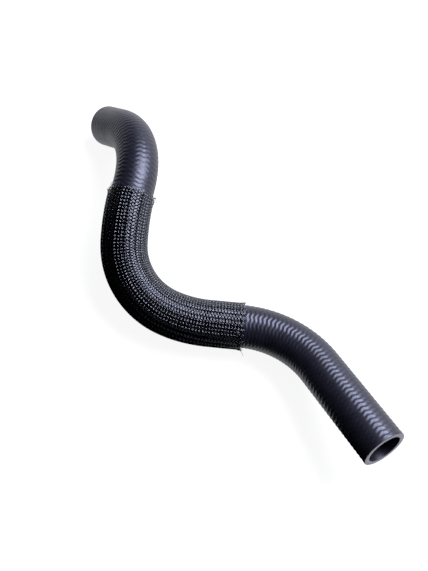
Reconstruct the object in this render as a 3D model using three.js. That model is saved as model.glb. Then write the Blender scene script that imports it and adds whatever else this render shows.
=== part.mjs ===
// Moulded radiator inlet hose with a loose braided sleeve, lying as it comes to rest.
// Millimetres, +Z up, floor at z = 0, origin under the middle of the bounding box.
import * as THREE from 'three';
import { mergeVertices } from 'three/addons/utils/BufferGeometryUtils.js';

// Hose section
const boreDiameter = 32;
const hoseWall = 5;

// The knitted cord under the rubber shows as wavy ridges round the hose
const ridgePitch = 4.35;
const ridgeHeight = 0.35;
const ridgeWave = 0.7;
const plainEnd = 3;

// Braided sleeve, pulled over the middle of the hose
const sleeveClearance = 0.3;
const sleeveWall = 1.2;
const braidHeight = 0.5;
const braidStep = 4.2;
const sleeveFromFarEnd = 131;
const sleeveFromNearEnd = 184;

// Cut ends of the sleeve: flared tips and the notches between them
const hemLength = 5;
const hemFlare = 0.6;
const hemNotch = 1.6;

// Straights and bend radii of the centre line, in order from the far end
const farStraight = 27;
const farBendRadius = 75;
const linkStraight = 16.5;
const entryBendRadius = 144;
const sleeveBendRadius = 71;
const exitBendRadius = 123;
const middleStraight = 33;
const nearBendRadius = 88.5;
const nearStraight = 96.5;

// Each bend turns towards its bearing, which is counted round the section from its right-hand
// side at 0 to its top at 90 degrees
const bends = [
  { straight: farStraight, radius: farBendRadius, turn: 70, bearing: -26.8 },
  { straight: linkStraight, radius: entryBendRadius, turn: 17, bearing: -103.8 },
  { straight: 0, radius: sleeveBendRadius, turn: 68, bearing: -162.3 },
  { straight: 0, radius: exitBendRadius, turn: 19.5, bearing: -156.8 },
  { straight: middleStraight, radius: nearBendRadius, turn: 57, bearing: 61.2 },
];

// How the hose lies: plan angle of its far end from +X, and the climb of that end
const startHeading = 8.6;
const startClimb = 38.15;

// Facets
const sides = 20;
const coveredStep = 10;
const boreStep = 11;

const boreRadius = boreDiameter / 2;
const hoseRadius = boreRadius + hoseWall;
const boreCornerRadius = boreRadius / Math.cos(Math.PI / sides);
const sleeveInnerRadius = hoseRadius + sleeveClearance;
const sleeveTroughRadius = sleeveInnerRadius + sleeveWall;
const sleeveCrestRadius = sleeveTroughRadius + braidHeight;

const rubber = new THREE.MeshStandardMaterial({
  name: 'rubber',
  color: 0x2c2d35,
  roughness: 0.5,
  metalness: 0,
});
const braid = new THREE.MeshStandardMaterial({
  name: 'braid',
  color: 0x131417,
  roughness: 0.35,
  metalness: 0,
});

// The section at a distance into a leg: it lies in its own XZ plane, and the hose runs along its Y
function sectionIn(leg, run) {
  if (!leg.radius) {
    const along = new THREE.Vector3(0, run, 0).applyQuaternion(leg.turn);
    return { place: along.add(leg.place), turn: leg.turn };
  }
  const swing = new THREE.Quaternion().setFromAxisAngle(leg.axis, run / leg.radius);
  const toCentre = leg.inward.clone().multiplyScalar(leg.radius);
  const swung = toCentre.clone().applyQuaternion(swing);
  const place = toCentre.sub(swung).applyQuaternion(leg.turn).add(leg.place);
  return { place, turn: leg.turn.clone().multiply(swing) };
}

// Straights and bends in order, each starting where the last one ends
function layLegs() {
  const legs = [];
  const heading = THREE.MathUtils.degToRad(startHeading - 90);
  const climb = THREE.MathUtils.degToRad(startClimb);
  let station = 0;
  let section = {
    place: new THREE.Vector3(),
    turn: new THREE.Quaternion().setFromEuler(new THREE.Euler(climb, 0, heading, 'ZXY')),
  };
  const addLeg = (length, shape) => {
    const leg = { start: station, length, ...section, ...shape };
    legs.push(leg);
    section = sectionIn(leg, length);
    station += length;
  };
  for (const bend of bends) {
    const angle = THREE.MathUtils.degToRad(bend.turn);
    const bearing = THREE.MathUtils.degToRad(bend.bearing);
    addLeg(bend.straight, {});
    addLeg(bend.radius * angle, {
      radius: bend.radius,
      inward: new THREE.Vector3(Math.cos(bearing), 0, Math.sin(bearing)),
      axis: new THREE.Vector3(Math.sin(bearing), 0, -Math.cos(bearing)),
    });
  }
  addLeg(nearStraight, {});
  return legs;
}

const legs = layLegs();
const hoseLength = legs.reduce((sum, leg) => sum + leg.length, 0);
const sleeveStart = sleeveFromFarEnd;
const sleeveEnd = hoseLength - sleeveFromNearEnd;

function sectionAt(station) {
  const leg = legs.find((one) => station <= one.start + one.length) ?? legs.at(-1);
  return sectionIn(leg, station - leg.start);
}

// Rings from one station to another, both included, no further apart than a step
function evenRings(from, to, step, radius) {
  const count = Math.ceil((to - from) / step);
  const rings = [];
  for (let k = 0; k <= count; k += 1) {
    rings.push({ station: from + (to - from) * k / count, radius });
  }
  return rings;
}

// A closed wall of rings, outside first and then back along the inside, swept along the route.
// A ring's shift and swell move every second corner one way and the others the other way.
function sweepRings(outside, inside) {
  const rings = [...outside, ...inside.toReversed()];
  rings.push(rings[0]);
  const profile = rings.map((ring) => new THREE.Vector2(ring.radius, ring.station));
  const geometry = new THREE.LatheGeometry(profile, sides);
  geometry.deleteAttribute('normal');
  geometry.deleteAttribute('uv');
  const position = geometry.attributes.position;
  const corner = new THREE.Vector3();
  for (let i = 0; i < position.count; i += 1) {
    const ring = rings[i % rings.length];
    const side = Math.floor(i / rings.length) % 2 ? 1 : -1;
    const radius = ring.radius + side * (ring.swell ?? 0);
    const section = sectionAt(ring.station + side * (ring.shift ?? 0));
    corner.fromBufferAttribute(position, i);
    corner.y = 0;
    corner.setLength(radius).applyQuaternion(section.turn).add(section.place);
    position.setXYZ(i, corner.x, corner.y, corner.z);
  }
  const solid = mergeVertices(geometry, 1e-3);
  solid.computeVertexNormals();
  return solid;
}

// Wavy ridges over a bare stretch: a trough ring, then a crest ring, at every pitch
function ridgeRings(from, to) {
  const count = Math.max(1, Math.round((to - from) / ridgePitch));
  const pitch = (to - from) / count;
  const rings = [];
  for (let k = 0; k < count; k += 1) {
    const trough = from + pitch * (k + 0.25);
    const crest = from + pitch * (k + 0.75);
    rings.push({ station: trough, radius: hoseRadius - ridgeHeight, shift: ridgeWave });
    rings.push({ station: crest, radius: hoseRadius, shift: ridgeWave });
  }
  return rings;
}

const coveredRings = evenRings(sleeveStart, sleeveEnd, coveredStep, hoseRadius);

function makeHose() {
  const outside = [
    { station: 0, radius: hoseRadius },
    ...ridgeRings(plainEnd, sleeveStart - plainEnd),
    ...coveredRings,
    ...ridgeRings(sleeveEnd + plainEnd, hoseLength - plainEnd),
    { station: hoseLength, radius: hoseRadius },
  ];
  const bore = evenRings(0, hoseLength, boreStep, boreCornerRadius);
  return sweepRings(outside, bore);
}

// A hem ring: every second corner stands out past the cut as a flared tip
function hemRing(station, radius) {
  return { station, radius: radius + hemFlare, shift: hemNotch / 2 };
}

function makeSleeve() {
  const weaveStart = sleeveStart + hemLength;
  const weaveEnd = sleeveEnd - hemLength;
  const middleRadius = (sleeveTroughRadius + sleeveCrestRadius) / 2;
  const weave = evenRings(weaveStart, weaveEnd, braidStep, middleRadius);
  const outside = [
    hemRing(sleeveStart, sleeveTroughRadius),
    ...weave.map((ring, k) => ({ ...ring, swell: (k % 2 ? 1 : -1) * braidHeight / 2 })),
    hemRing(sleeveEnd, sleeveTroughRadius),
  ];
  const inside = [
    hemRing(sleeveStart, sleeveInnerRadius),
    ...coveredRings.slice(1, -1).map((ring) => ({ ...ring, radius: sleeveInnerRadius })),
    hemRing(sleeveEnd, sleeveInnerRadius),
  ];
  return sweepRings(outside, inside);
}

const hose = new THREE.Mesh(makeHose(), rubber);
hose.name = 'hose';
const sleeve = new THREE.Mesh(makeSleeve(), braid);
sleeve.name = 'braided_sleeve';

const part = new THREE.Group();
part.add(hose, sleeve);
const box = new THREE.Box3().setFromObject(part);
const middle = box.getCenter(new THREE.Vector3());
part.position.set(-middle.x, -middle.y, -box.min.z);

export default part;
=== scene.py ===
import math
import random

import bmesh
import bpy
from mathutils import Matrix, Vector, noise


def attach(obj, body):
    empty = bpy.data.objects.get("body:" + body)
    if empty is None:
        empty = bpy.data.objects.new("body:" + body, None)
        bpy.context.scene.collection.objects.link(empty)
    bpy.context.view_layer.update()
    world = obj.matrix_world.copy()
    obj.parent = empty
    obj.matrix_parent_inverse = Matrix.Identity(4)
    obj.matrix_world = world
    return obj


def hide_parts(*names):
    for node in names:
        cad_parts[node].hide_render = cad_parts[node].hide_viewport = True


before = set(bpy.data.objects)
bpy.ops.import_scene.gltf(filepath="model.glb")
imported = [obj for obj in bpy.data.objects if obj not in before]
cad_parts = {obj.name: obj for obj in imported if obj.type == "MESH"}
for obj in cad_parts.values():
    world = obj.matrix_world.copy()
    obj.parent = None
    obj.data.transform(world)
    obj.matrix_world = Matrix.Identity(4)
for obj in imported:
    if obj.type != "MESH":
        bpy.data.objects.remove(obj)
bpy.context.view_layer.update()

mm = 0.001
touch = 0.01 * mm      # places nearer to each other than this are the same


# Camera, from the fit to the photo: place in metres, turn in degrees
photoCamera = {
    "place": (0.18106, -0.15390, 0.66972),
    "turn": (20.899, -2.583, 52.514),
    "lens": 44.13,      # 700 pixels on the photo's long side of 571
    "sensorWidth": 36,
    "nearest": 0.01,
}


def setCamera():
    data = bpy.data.cameras.new("photoCamera")
    data.lens = photoCamera["lens"]
    data.sensor_width = photoCamera["sensorWidth"]
    data.clip_start = photoCamera["nearest"]
    camera = bpy.data.objects.new("photoCamera", data)
    camera.location = photoCamera["place"]
    camera.rotation_euler = [math.radians(angle) for angle in photoCamera["turn"]]
    bpy.context.scene.collection.objects.link(camera)
    bpy.context.scene.camera = camera


setCamera()
print("camera set")


# Route of the hose's centre line from the far end, in mm and degrees. A bend turns towards its
# bearing, counted round the section from its right-hand side at 0 to its top at 90.
hoseRoute = {
    "bends": [      # straight before it, radius, turn, bearing
        (27, 75, 70, -26.8),
        (16.5, 144, 17, -103.8),
        (0, 71, 68, -162.3),
        (0, 123, 19.5, -156.8),
        (33, 88.5, 57, 61.2),
    ],
    "nearStraight": 96.5,
    "heading": 8.6,      # plan angle of the far end from +X
    "climb": 38.15,
}


def sectionIn(leg, run):
    # The section lies in its own XZ plane, and the hose runs along its Y
    if not leg["radius"]:
        return leg["place"] + leg["turn"] @ Vector((0, run, 0)), leg["turn"]
    swing = Matrix.Rotation(run / leg["radius"], 3, leg["axis"])
    toCentre = leg["inward"] * leg["radius"]
    place = leg["place"] + leg["turn"] @ (toCentre - swing @ toCentre)
    return place, leg["turn"] @ swing


def firstTurn():
    heading = math.radians(hoseRoute["heading"] - 90)
    climb = math.radians(hoseRoute["climb"])
    return Matrix.Rotation(heading, 3, "Z") @ Matrix.Rotation(climb, 3, "X")


def farEndCentre(direction):
    # The cut at the far end is the part of the solid that lies furthest back along the hose
    corners = [vert.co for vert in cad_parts["hose"].data.vertices]
    back = min(corner.dot(direction) for corner in corners)
    cut = [corner for corner in corners if corner.dot(direction) < back + touch]
    low = Vector([min(corner[k] for corner in cut) for k in range(3)])
    high = Vector([max(corner[k] for corner in cut) for k in range(3)])
    return (low + high) / 2


def layLegs():
    legs = []
    turn = firstTurn()
    place = farEndCentre(turn.col[1])
    start = 0

    def addLeg(length, radius, bearing):
        nonlocal start, place, turn
        leg = {
            "start": start, "length": length, "radius": radius, "place": place, "turn": turn,
            "inward": Vector((math.cos(bearing), 0, math.sin(bearing))),
            "axis": Vector((math.sin(bearing), 0, -math.cos(bearing))),
        }
        legs.append(leg)
        place, turn = sectionIn(leg, length)
        start += length

    for straight, radius, angle, bearing in hoseRoute["bends"]:
        addLeg(straight * mm, 0, 0)
        addLeg(radius * mm * math.radians(angle), radius * mm, math.radians(bearing))
    addLeg(hoseRoute["nearStraight"] * mm, 0, 0)
    return legs


legs = layLegs()
hoseLength = legs[-1]["start"] + legs[-1]["length"]


def sectionAt(station):
    for leg in legs:
        if station <= leg["start"] + leg["length"]:
            break
    return sectionIn(leg, station - leg["start"])


def onRoute(angle, station, radius):
    # A point beside the centre line: angle round the section, metres along it and out from it
    place, turn = sectionAt(station)
    return place + turn @ Vector((radius * math.cos(angle), 0, radius * math.sin(angle)))


print("route laid,", round(hoseLength / mm, 1), "mm")


# Rubber hose
hose = {
    "boreRadius": 16 * mm,
    "outerRadius": 21 * mm,
    "sides": 128,           # eight for each wave of the knit
    "knitPitch": 4.36 * mm,
    "farKnitPitch": 4.23 * mm,      # beyond the sleeve, where the bend presses the knit together
    "knitDepth": 0.31 * mm,
    "knitWaves": 16,
    "knitSwing": 0.66 * mm,
    "ringsPerPitch": 7,
    "coveredStep": 5 * mm,
    "boreStep": 8 * mm,
    "rimRound": 0.45 * mm,
    "rimSegments": 3,
    "sleeveStart": 131 * mm,
    "sleeveEnd": hoseLength - 184 * mm,
    "fadeUnderSleeve": 6 * mm,      # the knit fades out under the hems from here
    "underSleeve": 11 * mm,         # to here
    "fadeAtCuts": (0.5 * mm, 3.5 * mm),
    "fadeToFarEnd": (20 * mm, 95 * mm),
    "farShare": 0.4,                # what is left of the knit's depth at the far end
    "pitchChange": 131.5 * mm,      # just under the far hem
    "wander": 0.28 * mm,            # how far a ridge strays from its line
    "wanderRound": 1.5,
    "wanderLength": 18 * mm,
}


def pullRing(bm, ring, station, radius):
    # Extrude a ring of edges and put the new ring at its place on the straight hose
    out = bmesh.ops.extrude_edge_only(bm, edges=ring)["geom"]
    verts = [item for item in out if isinstance(item, bmesh.types.BMVert)]
    old = verts[0].co
    grow = radius / math.hypot(old.x, old.z)
    bmesh.ops.scale(bm, verts=verts, vec=(grow, 1, grow))
    bmesh.ops.translate(bm, verts=verts, vec=(0, station - old.y, 0))
    return [item for item in out if isinstance(item, bmesh.types.BMEdge)]


def cutStretch(bm, low, high, radius, step):
    # Even rings over one stretch of a straight wall
    def isAlong(edge):
        first, second = (vert.co for vert in edge.verts)
        middle = (first + second) / 2
        return (
            abs(first.y - second.y) > (high - low) / 2
            and low < middle.y < high
            and abs(math.hypot(middle.x, middle.z) - radius) < touch
        )

    edges = [edge for edge in bm.edges if isAlong(edge)]
    bmesh.ops.subdivide_edges(bm, edges=edges, cuts=round((high - low) / step) - 1)


def straightHose():
    bm = bmesh.new()
    lay = Matrix.Rotation(math.radians(90), 4, "X")
    outer, bore = hose["outerRadius"], hose["boreRadius"]
    firstBare = hose["sleeveStart"] + hose["underSleeve"]
    secondBare = hose["sleeveEnd"] - hose["underSleeve"]
    bmesh.ops.create_circle(bm, segments=hose["sides"], radius=outer, matrix=lay)
    firstRing = bm.edges[:]
    ring = pullRing(bm, firstRing, firstBare, outer)
    ring = pullRing(bm, ring, secondBare, outer)
    nearRim = pullRing(bm, ring, hoseLength, outer)
    nearMouth = pullRing(bm, nearRim, hoseLength, bore)
    lastRing = pullRing(bm, nearMouth, 0, bore)
    bmesh.ops.bridge_loops(bm, edges=lastRing + firstRing)
    bmesh.ops.bevel(
        bm, geom=firstRing + nearRim + nearMouth + lastRing, offset=hose["rimRound"],
        segments=hose["rimSegments"], profile=0.5, affect="EDGES", material=-1,
    )
    fine = hose["knitPitch"] / hose["ringsPerPitch"]
    cutStretch(bm, 0, firstBare, outer, fine)
    cutStretch(bm, firstBare, secondBare, outer, hose["coveredStep"])
    cutStretch(bm, secondBare, hoseLength, outer, fine)
    cutStretch(bm, 0, hoseLength, bore, hose["boreStep"])
    bmesh.ops.recalc_face_normals(bm, faces=bm.faces)
    return bm


def smoothStep(low, high, value):
    t = min(max((value - low) / (high - low), 0), 1)
    return t * t * (3 - 2 * t)


def noiseRound(angle, spread, along):
    # Smooth noise over a cylinder, with no seam where the angle starts again
    return noise.noise(Vector((math.cos(angle) * spread, math.sin(angle) * spread, along)))


def knitRelief(angle, station):
    # Wavy ridges of the cord under the rubber, fainter towards the far end, none at the cuts
    fade = smoothStep(*hose["fadeAtCuts"], min(station, hoseLength - station))
    fade *= hose["farShare"] + (1 - hose["farShare"]) * smoothStep(*hose["fadeToFarEnd"], station)
    under = min(station - hose["sleeveStart"], hose["sleeveEnd"] - station)
    fade *= 1 - smoothStep(hose["fadeUnderSleeve"], hose["underSleeve"], under)
    wave = angle * hose["knitWaves"]
    swing = (math.sin(wave) - math.sin(3 * wave) / 9) * hose["knitSwing"]      # nearly a zigzag
    wander = hose["wander"] * noiseRound(angle, hose["wanderRound"], station / hose["wanderLength"])
    pitch = hose["farKnitPitch"] if station < hose["pitchChange"] else hose["knitPitch"]
    turn = 2 * math.pi * (station + swing + wander) / pitch
    return -hose["knitDepth"] * fade * (0.5 - 0.5 * math.cos(turn))


def bendOntoRoute(bm):
    # Every corner goes from the straight hose to the bent one, with the knit pressed in
    cut = bm.verts.layers.float.new("cutFace")
    for vert in bm.verts:
        station = vert.co.y
        radius = math.hypot(vert.co.x, vert.co.z)
        angle = math.atan2(vert.co.z, vert.co.x)
        flat = min(station, hoseLength - station) < touch
        vert[cut] = 1 if flat else 0
        if radius > (hose["outerRadius"] + hose["boreRadius"]) / 2 and not flat:
            radius += knitRelief(angle, station)
        vert.co = onRoute(angle, station, radius)


def finishPiece(name, bm, material, node):
    mesh = bpy.data.meshes.new(name)
    bm.to_mesh(mesh)
    bm.free()
    mesh.polygons.foreach_set("use_smooth", [True] * len(mesh.polygons))
    mesh.materials.append(material)
    piece = bpy.data.objects.new(name, mesh)
    bpy.context.scene.collection.objects.link(piece)
    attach(piece, "root")
    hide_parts(node)
    return piece


# Rubber material: nearly black, satin with a blue sheen, and a cut face painted pale lilac, partly
# for its paler matt bare rubber and partly as painted light that the cut faces catch
rubberLook = {
    "colour": (0.004, 0.004, 0.008, 1),
    "palerColour": (0.006, 0.006, 0.011, 1),
    # the cut faces' colour: paler matt rubber, with painted light on top of it
    "mattCutAndPaintedLight": (0.200, 0.195, 0.225, 1),
    "roughness": (0.38, 0.43),
    "specular": 0.6,
    "specularTint": (0.73, 0.76, 1.0, 1),
    "grainSize": 0.5 * mm,
    "grainHeight": 0.02 * mm,
    "mottleSize": 9 * mm,
}


def addNoise(nodes, links, coords, size, detail):
    texture = nodes.new("ShaderNodeTexNoise")
    texture.inputs["Scale"].default_value = 1 / size
    texture.inputs["Detail"].default_value = detail
    links.new(coords, texture.inputs["Vector"])
    return texture.outputs["Fac"]


def addRange(nodes, links, value, low, high):
    # Noise lies mostly between 0.3 and 0.7
    spread = nodes.new("ShaderNodeMapRange")
    spread.inputs["From Min"].default_value = 0.3
    spread.inputs["From Max"].default_value = 0.7
    spread.inputs["To Min"].default_value = low
    spread.inputs["To Max"].default_value = high
    links.new(value, spread.inputs["Value"])
    return spread.outputs["Result"]


def addMix(nodes, links, factor, first, second):
    mix = nodes.new("ShaderNodeMix")
    mix.data_type = "RGBA"
    links.new(factor, mix.inputs["Factor"])
    for socket, colour in ((mix.inputs["A"], first), (mix.inputs["B"], second)):
        if isinstance(colour, tuple):
            socket.default_value = colour
        else:
            links.new(colour, socket)
    return mix.outputs["Result"]


def addBump(nodes, links, height, distance):
    bump = nodes.new("ShaderNodeBump")
    bump.inputs["Strength"].default_value = 1
    bump.inputs["Distance"].default_value = distance
    links.new(height, bump.inputs["Height"])
    return bump.outputs["Normal"]


def newMaterial(name):
    material = bpy.data.materials.new(name)
    material.use_nodes = True
    tree = material.node_tree
    coords = tree.nodes.new("ShaderNodeTexCoord").outputs["Object"]
    return material, tree.nodes, tree.links, tree.nodes["Principled BSDF"], coords


def makeRubber():
    material, nodes, links, shader, coords = newMaterial("hoseRubber")
    mottle = addNoise(nodes, links, coords, rubberLook["mottleSize"], 3)
    grain = addNoise(nodes, links, coords, rubberLook["grainSize"], 2)
    patches = addRange(nodes, links, mottle, 0, 1)
    skin = addMix(nodes, links, patches, rubberLook["colour"], rubberLook["palerColour"])
    cut = nodes.new("ShaderNodeAttribute")
    cut.attribute_name = "cutFace"
    # the cut faces take the pale colour, which is partly painted light
    colour = addMix(nodes, links, cut.outputs["Fac"], skin, rubberLook["mattCutAndPaintedLight"])
    links.new(colour, shader.inputs["Base Color"])
    low, high = rubberLook["roughness"]
    links.new(addRange(nodes, links, mottle, low, high), shader.inputs["Roughness"])
    links.new(addBump(nodes, links, grain, rubberLook["grainHeight"]), shader.inputs["Normal"])
    shader.inputs["Specular IOR Level"].default_value = rubberLook["specular"]
    shader.inputs["Specular Tint"].default_value = rubberLook["specularTint"]
    return material


hoseBody = straightHose()
bendOntoRoute(hoseBody)
hosePiece = finishPiece("rubber_hose", hoseBody, makeRubber(), "hose")
print("hose made,", len(hosePiece.data.polygons), "faces")


# Braided sleeve: two sets of strands wind opposite ways, one over and one under. It is made on a
# straight hose whose wall is drawn out radially, so that round tubes come out flat on the bent one.
sleeve = {
    "start": hose["sleeveStart"],
    "end": hose["sleeveEnd"],
    "crestRadius": 23 * mm,
    "carriers": 20,           # strands each way
    "lead": 60 * mm,          # along the hose while a strand goes round once
    "turn": 2,                # degrees that the whole braid is turned
    "drift": -20,             # degrees that the columns wind over the whole sleeve
    "filaments": 3,           # side by side in a strand
    "thickness": 0.53 * mm,
    "flatness": 0.55,         # height of a filament as a share of its width
    "crown": 0.03 * mm,       # the middle filament stands up
    "lift": 1.3 * mm,         # from the top of a strand's wave to its bottom
    "wave": [                 # crossings along a strand, and its level there: 1 on top, -1 under
        (-0.55, 0.35), (-0.45, 0.85), (-0.35, 1), (0.35, 1), (0.45, 0.85), (0.55, 0.35), (1, -1),
    ],
    "slack": 0.22 * mm,
    "slackRound": 1.2,
    "slackLength": 30 * mm,
    "flare": 0.35 * mm,       # how far the mouth stands open at a hem
    "flareLength": 9 * mm,
    "flareUneven": 1.3,
    "flareRound": 2.2,
    "flarePlace": (2, 5),     # where the noise is read for the far and the near mouth
    "tipJitter": 1.5 * mm,
    "tipSplay": 0.06,         # radians to either side at a cut tip
    "tipCurl": (-0.3 * mm, 1.0 * mm),
    "freeLength": 5 * mm,
    "clearance": 0.05 * mm,   # from the rubber and from the floor
}
chance = random.Random(7)


def wallRadius(angle, station):
    # Middle of the braid's wall: even, with some slack and a loose mouth at each hem
    toFar, toNear = station - sleeve["start"], sleeve["end"] - station
    loose = max(0, 1 - min(toFar, toNear) / sleeve["flareLength"]) ** 2
    hemPlace = sleeve["flarePlace"][0 if toFar < toNear else 1]
    uneven = 1 + sleeve["flareUneven"] * noiseRound(angle, sleeve["flareRound"], hemPlace)
    slack = noiseRound(angle, sleeve["slackRound"], station / sleeve["slackLength"])
    depth = (sleeve["lift"] + sleeve["thickness"] * sleeve["flatness"]) / 2
    radius = sleeve["crestRadius"] - depth + sleeve["slack"] * slack
    return radius + sleeve["flare"] * loose * uneven


def onDrawnOut(angle, station, radius):
    # Straight hose, with what lies off the crest radius drawn out so that flat becomes round
    radius = sleeve["crestRadius"] + (radius - sleeve["crestRadius"]) / sleeve["flatness"]
    return Vector((radius * math.cos(angle), station, radius * math.sin(angle)))


def strandPath(way, carrier, side):
    # One filament of a strand, from hem to hem; way is 1 or -1, side counts from the middle
    step = sleeve["lead"] / (2 * sleeve["carriers"])      # from one crossing to the next
    steep = 2 * math.pi * sleeve["crestRadius"] / sleeve["lead"]
    across = side * sleeve["thickness"]
    alongShift = -way * across * steep / math.hypot(1, steep)
    roundShift = across / math.hypot(1, steep) / sleeve["crestRadius"]
    firstAngle = 2 * math.pi * carrier / sleeve["carriers"] + math.radians(sleeve["turn"])
    firstCrossing = 0 if way > 0 else 1
    start = sleeve["start"] + chance.uniform(-1, 1) * sleeve["tipJitter"]
    end = sleeve["end"] + chance.uniform(-1, 1) * sleeve["tipJitter"]
    splay = [chance.uniform(-1, 1) * sleeve["tipSplay"] for _ in range(2)]
    curl = [chance.uniform(*sleeve["tipCurl"]) for _ in range(2)]
    span = sleeve["end"] - sleeve["start"]
    path = []
    for wave in range(-2, int(span / step / 2) + 3):      # two crossings each, past both hems
        for off, level in sleeve["wave"]:
            along = (2 * wave + off + firstCrossing) * step
            station = sleeve["start"] + along + alongShift
            if not start <= station <= end:
                continue
            run = (station - sleeve["start"]) / span
            hem = 0 if run < 0.5 else 1
            free = max(0, 1 - min(station - start, end - station) / sleeve["freeLength"]) ** 2
            angle = firstAngle + roundShift + math.radians(sleeve["drift"]) * run
            angle += way * 2 * math.pi * along / sleeve["lead"] + free * splay[hem]
            radius = wallRadius(angle, station) + free * curl[hem]
            radius += level * sleeve["lift"] / 2 - abs(side) * sleeve["crown"]
            path.append(onDrawnOut(angle, station, radius))
    return path


def tubesFromPaths(name, paths, thickness):
    # Round filaments along the paths, as one closed tube each
    curve = bpy.data.curves.new(name, "CURVE")
    curve.dimensions = "3D"
    curve.bevel_depth = thickness / 2
    curve.bevel_resolution = 1
    curve.use_fill_caps = True
    for path in paths:
        spline = curve.splines.new("POLY")
        spline.points.add(len(path) - 1)
        for point, place in zip(spline.points, path):
            point.co = (*place, 1)
    holder = bpy.data.objects.new(name, curve)
    bpy.context.scene.collection.objects.link(holder)
    depsgraph = bpy.context.evaluated_depsgraph_get()
    mesh = bpy.data.meshes.new_from_object(holder.evaluated_get(depsgraph))
    bpy.data.objects.remove(holder)
    bm = bmesh.new()
    bm.from_mesh(mesh)
    bpy.data.meshes.remove(mesh)
    bmesh.ops.remove_doubles(bm, verts=bm.verts, dist=0.001 * mm)
    bmesh.ops.recalc_face_normals(bm, faces=bm.faces)
    return bm


def layOnHose(bm):
    # Every corner goes from the drawn-out straight hose to its place on the bent one
    crest = sleeve["crestRadius"]
    for vert in bm.verts:
        angle = math.atan2(vert.co.z, vert.co.x)
        radius = math.hypot(vert.co.x, vert.co.z)
        radius = crest + (radius - crest) * sleeve["flatness"]
        radius = max(radius, hose["outerRadius"] + sleeve["clearance"])
        place = onRoute(angle, vert.co.y, radius)
        place.z = max(place.z, sleeve["clearance"])
        vert.co = place


# Braid material: black, smooth and hard, so that it is seen by its highlights
braidLook = {
    "colour": (0.0010, 0.0010, 0.0013, 1),
    "roughness": (0.12, 0.18),
    "specular": 1.0,
    "ior": 1.6,
    "specularTint": (0.78, 0.82, 1.0, 1),
    "streakSize": 2.2 * mm,
}


def makeBraidPlastic():
    material, nodes, links, shader, coords = newMaterial("braidPlastic")
    streak = addNoise(nodes, links, coords, braidLook["streakSize"], 2)
    low, high = braidLook["roughness"]
    links.new(addRange(nodes, links, streak, low, high), shader.inputs["Roughness"])
    shader.inputs["Base Color"].default_value = braidLook["colour"]
    shader.inputs["Specular IOR Level"].default_value = braidLook["specular"]
    shader.inputs["IOR"].default_value = braidLook["ior"]
    shader.inputs["Specular Tint"].default_value = braidLook["specularTint"]
    return material


braidPlastic = makeBraidPlastic()
half = sleeve["carriers"] // 2
quarters = [("left", 1, 0), ("left", 1, half), ("right", -1, 0), ("right", -1, half)]
sidesOfStrand = [k - (sleeve["filaments"] - 1) / 2 for k in range(sleeve["filaments"])]
for number, (hand, way, first) in enumerate(quarters, 1):
    paths = [
        strandPath(way, carrier, side)
        for carrier in range(first, first + half)
        for side in sidesOfStrand
    ]
    name = f"braid_{hand}_strands_{number}"
    tubes = tubesFromPaths(name, paths, sleeve["thickness"])
    layOnHose(tubes)
    piece = finishPiece(name, tubes, braidPlastic, "braided_sleeve")
    print(name, "made,", len(piece.data.polygons), "faces")


# Strands and filaments that have come loose at the two hems
frays = {
    "strands": [      # hem, root and tip as mm past its cut and degrees round, bow, rise, filaments
        ("near", -7.0, 101, 0.4, 82, 0, 1.6 * mm, 3),
        ("near", -6.5, 140, -2.4, 154, 0, 1.6 * mm, 3),
        ("near", -6.0, 71, -0.8, 60, 0, 1.4 * mm, 3),
        ("near", -2.0, 27, 4.5, 19, 0, 5.0 * mm, 1),
        ("near", -4.0, 30, 1.2, 40, 0, 1.2 * mm, 3),
        ("near", -4.0, 168, 1.0, 178, 0, 1.4 * mm, 3),
        ("far", -1.5, 44, -0.5, 60, 5.5 * mm, 0.6 * mm, 1),
        ("far", -3.0, 180, -2.0, 204, 4.0 * mm, 2.2 * mm, 2),
        ("far", -3.5, 176, 1.0, 190, 0, 1.4 * mm, 3),
        ("far", -4.0, 120, 1.6, 104, 0, 0.8 * mm, 2),
        ("far", -4.0, 132, 1.8, 146, 0, 0.7 * mm, 2),
    ],
    "single": 24,                     # loose filaments a hem
    "singleRoot": (-3.0, -1.5),
    "singleTip": (0.6, 2.8),
    "singleTurn": (3, 11),            # degrees to either side
    "singleRise": (0.1 * mm, 1.3 * mm),
    "points": 9,
    "thinner": 0.85,                  # thickness as a share of the sleeve's
    "sideAlong": 0.65,                # from filament to filament, in thicknesses
    "sideRound": 0.75,
    "above": 0.25 * mm,               # over the crests
    "below": 0.7 * mm,                # how much deeper the root starts
    "rootShare": 0.2,                 # of the length, over which it comes up
}


def loosePath(hem, root, rootTurn, tip, tipTurn, bow, rise, side):
    # From under the weave up and out; the bow sends the middle of the path past the cut
    past, cut = (-1, sleeve["start"]) if hem == "far" else (1, sleeve["end"])
    path = []
    for k in range(frays["points"]):
        t = k / (frays["points"] - 1)
        station = cut + past * (root + (tip - root) * t) * mm
        station += past * bow * math.sin(math.pi * t)
        station += side * sleeve["thickness"] * frays["sideAlong"]
        angle = math.radians(rootTurn + (tipTurn - rootTurn) * t)
        angle += side * sleeve["thickness"] * frays["sideRound"] / sleeve["crestRadius"]
        radius = sleeve["crestRadius"] + frays["above"] + rise * t * t
        radius -= frays["below"] * (1 - min(1, t / frays["rootShare"]))
        path.append(onDrawnOut(angle, station, radius))
    return path


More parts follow.
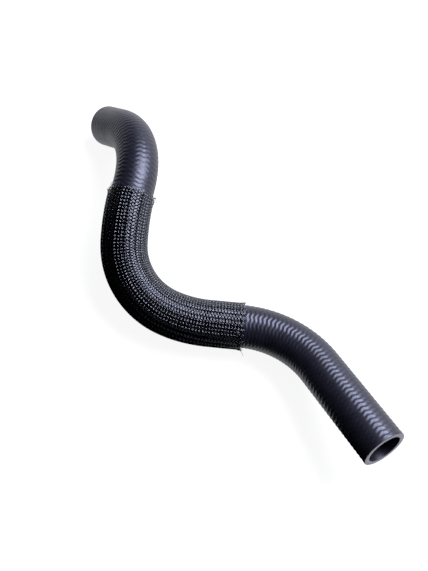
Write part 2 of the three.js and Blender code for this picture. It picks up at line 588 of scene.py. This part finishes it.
loosePaths = []
for *place, count in frays["strands"]:
    for k in range(count):
        loosePaths.append(loosePath(*place, k - (count - 1) / 2))
for hem in ("far", "near"):
    for _ in range(frays["single"]):
        root = chance.uniform(*frays["singleRoot"])
        tip = chance.uniform(*frays["singleTip"])
        rootTurn = chance.uniform(0, 360)
        tipTurn = rootTurn + chance.choice((-1, 1)) * chance.uniform(*frays["singleTurn"])
        rise = chance.uniform(*frays["singleRise"])
        loosePaths.append(loosePath(hem, root, rootTurn, tip, tipTurn, 0, rise, 0))
looseEnds = tubesFromPaths("braid_loose_ends", loosePaths, sleeve["thickness"] * frays["thinner"])
layOnHose(looseEnds)
piece = finishPiece("braid_loose_ends", looseEnds, braidPlastic, "braided_sleeve")
print("loose ends made,", len(piece.data.polygons), "faces")


# Floor, world and key lamp. The floor and the world are white for the camera, reflections and
# seen-through light, and light the hose less than that.
studio = {
    "floorSize": 5.0,
    "floorColour": (0.160, 0.160, 0.162, 1),
    "floorGlow": 0.90,        # with the lamp on the grey it comes out white, and keeps the shadow
    "worldColour": (0.90, 0.93, 1.0, 1),
    "worldLevel": 0.3,
    "keyTowards": (0.03, 0.60, 0.78),
    "keyDistance": 1.0,
    "keyAim": (0, 0, 0.03),
    "keySize": (0.80, 0.66),
    "keyPower": 30,
    "keyColour": (0.90, 0.92, 1.0),
}


def seenDirectly(nodes, links):
    # 1 for camera, glossy and transmission rays, 0 for the light that falls on things
    rays = nodes.new("ShaderNodeLightPath")
    seen = rays.outputs["Is Camera Ray"]
    for kind in ("Is Glossy Ray", "Is Transmission Ray"):
        most = nodes.new("ShaderNodeMath")
        most.operation = "MAXIMUM"
        links.new(seen, most.inputs[0])
        links.new(rays.outputs[kind], most.inputs[1])
        seen = most.outputs[0]
    return seen


def mixShaders(nodes, links, factor, first, second):
    mix = nodes.new("ShaderNodeMixShader")
    links.new(factor, mix.inputs["Fac"])
    links.new(first, mix.inputs[1])
    links.new(second, mix.inputs[2])
    return mix.outputs[0]


def putOnStage(name, bm, material):
    mesh = bpy.data.meshes.new(name)
    bm.to_mesh(mesh)
    bm.free()
    mesh.materials.append(material)
    thing = bpy.data.objects.new(name, mesh)
    bpy.context.scene.collection.objects.link(thing)
    return thing


def makeFloor():
    material, nodes, links, shader, coords = newMaterial("paleFloor")
    nodes.remove(shader)
    matt = nodes.new("ShaderNodeBsdfDiffuse")
    matt.inputs["Color"].default_value = studio["floorColour"]
    glow = nodes.new("ShaderNodeEmission")
    glow.inputs["Strength"].default_value = studio["floorGlow"]
    both = nodes.new("ShaderNodeAddShader")
    links.new(matt.outputs[0], both.inputs[0])
    links.new(glow.outputs[0], both.inputs[1])
    seen = seenDirectly(nodes, links)
    surface = mixShaders(nodes, links, seen, matt.outputs[0], both.outputs[0])
    links.new(surface, nodes["Material Output"].inputs["Surface"])
    bm = bmesh.new()
    bmesh.ops.create_grid(bm, x_segments=1, y_segments=1, size=studio["floorSize"] / 2)
    putOnStage("floor", bm, material)


def setWorld():
    world = bpy.data.worlds.new("studioWorld")
    bpy.context.scene.world = world
    world.use_nodes = True
    nodes, links = world.node_tree.nodes, world.node_tree.links
    level = nodes["Background"]
    level.inputs["Color"].default_value = studio["worldColour"]
    level.inputs["Strength"].default_value = studio["worldLevel"]
    white = nodes.new("ShaderNodeBackground")
    white.inputs["Color"].default_value = (1, 1, 1, 1)
    seen = seenDirectly(nodes, links)
    surface = mixShaders(nodes, links, seen, level.outputs[0], white.outputs[0])
    links.new(surface, nodes["World Output"].inputs["Surface"])


def setKeyLamp():
    towards = Vector(studio["keyTowards"]).normalized()
    data = bpy.data.lights.new("keyLamp", "AREA")
    data.shape = "RECTANGLE"
    data.size, data.size_y = studio["keySize"]
    data.energy = studio["keyPower"]
    data.color = studio["keyColour"]
    lamp = bpy.data.objects.new("keyLamp", data)
    lamp.location = Vector(studio["keyAim"]) + towards * studio["keyDistance"]
    lamp.rotation_euler = towards.to_track_quat("Z", "Y").to_euler()
    bpy.context.scene.collection.objects.link(lamp)


makeFloor()
setWorld()
setKeyLamp()
print("floor, world and lamp set")


# Black sheets round and over the hose, which only reflections see: they paint shade into the hose's
# reflections and block no light. A foot on the floor and a curved wall
paintedShadeSheets = {
    "leftSide": {
        "turn": (-150, -15),      # plan angles from +X
        "climb": (0, 60),
        "radius": 0.80,
        "foot": 0.07,             # how near the foot comes, 0 for none
        "centre": (0.12, 0.05),
    },
    "leftFoot": {
        "turn": (-172, -50),
        "climb": (0, 30),
        "radius": 0.75,
        "foot": 0.03,
        "centre": (-0.03, -0.01),
    },
    "farSide": {
        "turn": (-215, -120),
        "climb": (10, 60),
        "radius": 0.80,
        "foot": 0,
        "centre": (0, 0),
    },
    "ceiling": {
        "turn": (-180, 180),
        "climb": (22, 90),
        "radius": 1.60,
        "foot": 0,
        "centre": (0, 0),
    },
}
paintedShadeLayout = {
    "colour": (0.003, 0.003, 0.004, 1),
    "footHeight": 0.5 * mm,
    "climbSteps": 12,
    "turnSteps": 24,
}


# black for the sheets that paint shade into the hose's reflections
def makePaintedShadeBlack():
    material, nodes, links, shader, coords = newMaterial("paintedShadeBlack")
    shader.inputs["Base Color"].default_value = paintedShadeLayout["colour"]
    shader.inputs["Roughness"].default_value = 1
    shader.inputs["Specular IOR Level"].default_value = 0
    return material


def makePaintedShadeSheet(name, paintedShadeSheet, material):
    bm = bmesh.new()
    low, high = [math.radians(angle) for angle in paintedShadeSheet["climb"]]
    first, last = [math.radians(angle) for angle in paintedShadeSheet["turn"]]
    reach, foot = paintedShadeSheet["radius"], paintedShadeSheet["foot"]
    wall = bmesh.ops.create_vert(bm, co=(reach * math.cos(low), 0, reach * math.sin(low)))["vert"]
    bmesh.ops.spin(
        bm, geom=wall, cent=(0, 0, 0), axis=(0, -1, 0), angle=high - low,
        steps=paintedShadeLayout["climbSteps"],
    )
    if foot:
        toe = bmesh.ops.create_vert(bm, co=(foot, 0, paintedShadeLayout["footHeight"]))["vert"]
        heel = bmesh.ops.extrude_vert_indiv(bm, verts=toe)["verts"]
        bmesh.ops.translate(bm, verts=heel, vec=(reach - foot, 0, 0))
    bmesh.ops.rotate(bm, verts=bm.verts, cent=(0, 0, 0), matrix=Matrix.Rotation(first, 3, "Z"))
    bmesh.ops.spin(
        bm, geom=bm.verts[:] + bm.edges[:], cent=(0, 0, 0), axis=(0, 0, 1),
        angle=last - first, steps=paintedShadeLayout["turnSteps"],
    )
    bmesh.ops.translate(bm, verts=bm.verts, vec=(*paintedShadeSheet["centre"], 0))
    sheet = putOnStage(name, bm, material)
    # seen only by glossy and transmission rays, so the sheet paints dark reflections and casts no
    # shadow
    sheet.visible_camera = False
    sheet.visible_diffuse = False
    sheet.visible_shadow = False


# put up the black sheets that paint shade into reflections
paintedShadeBlack = makePaintedShadeBlack()
for paintedShadeName, paintedShadeSheet in paintedShadeSheets.items():
    makePaintedShadeSheet(paintedShadeName + "PaintedShade", paintedShadeSheet, paintedShadeBlack)
bpy.context.scene.view_settings.view_transform = "Standard"
print("flags set")
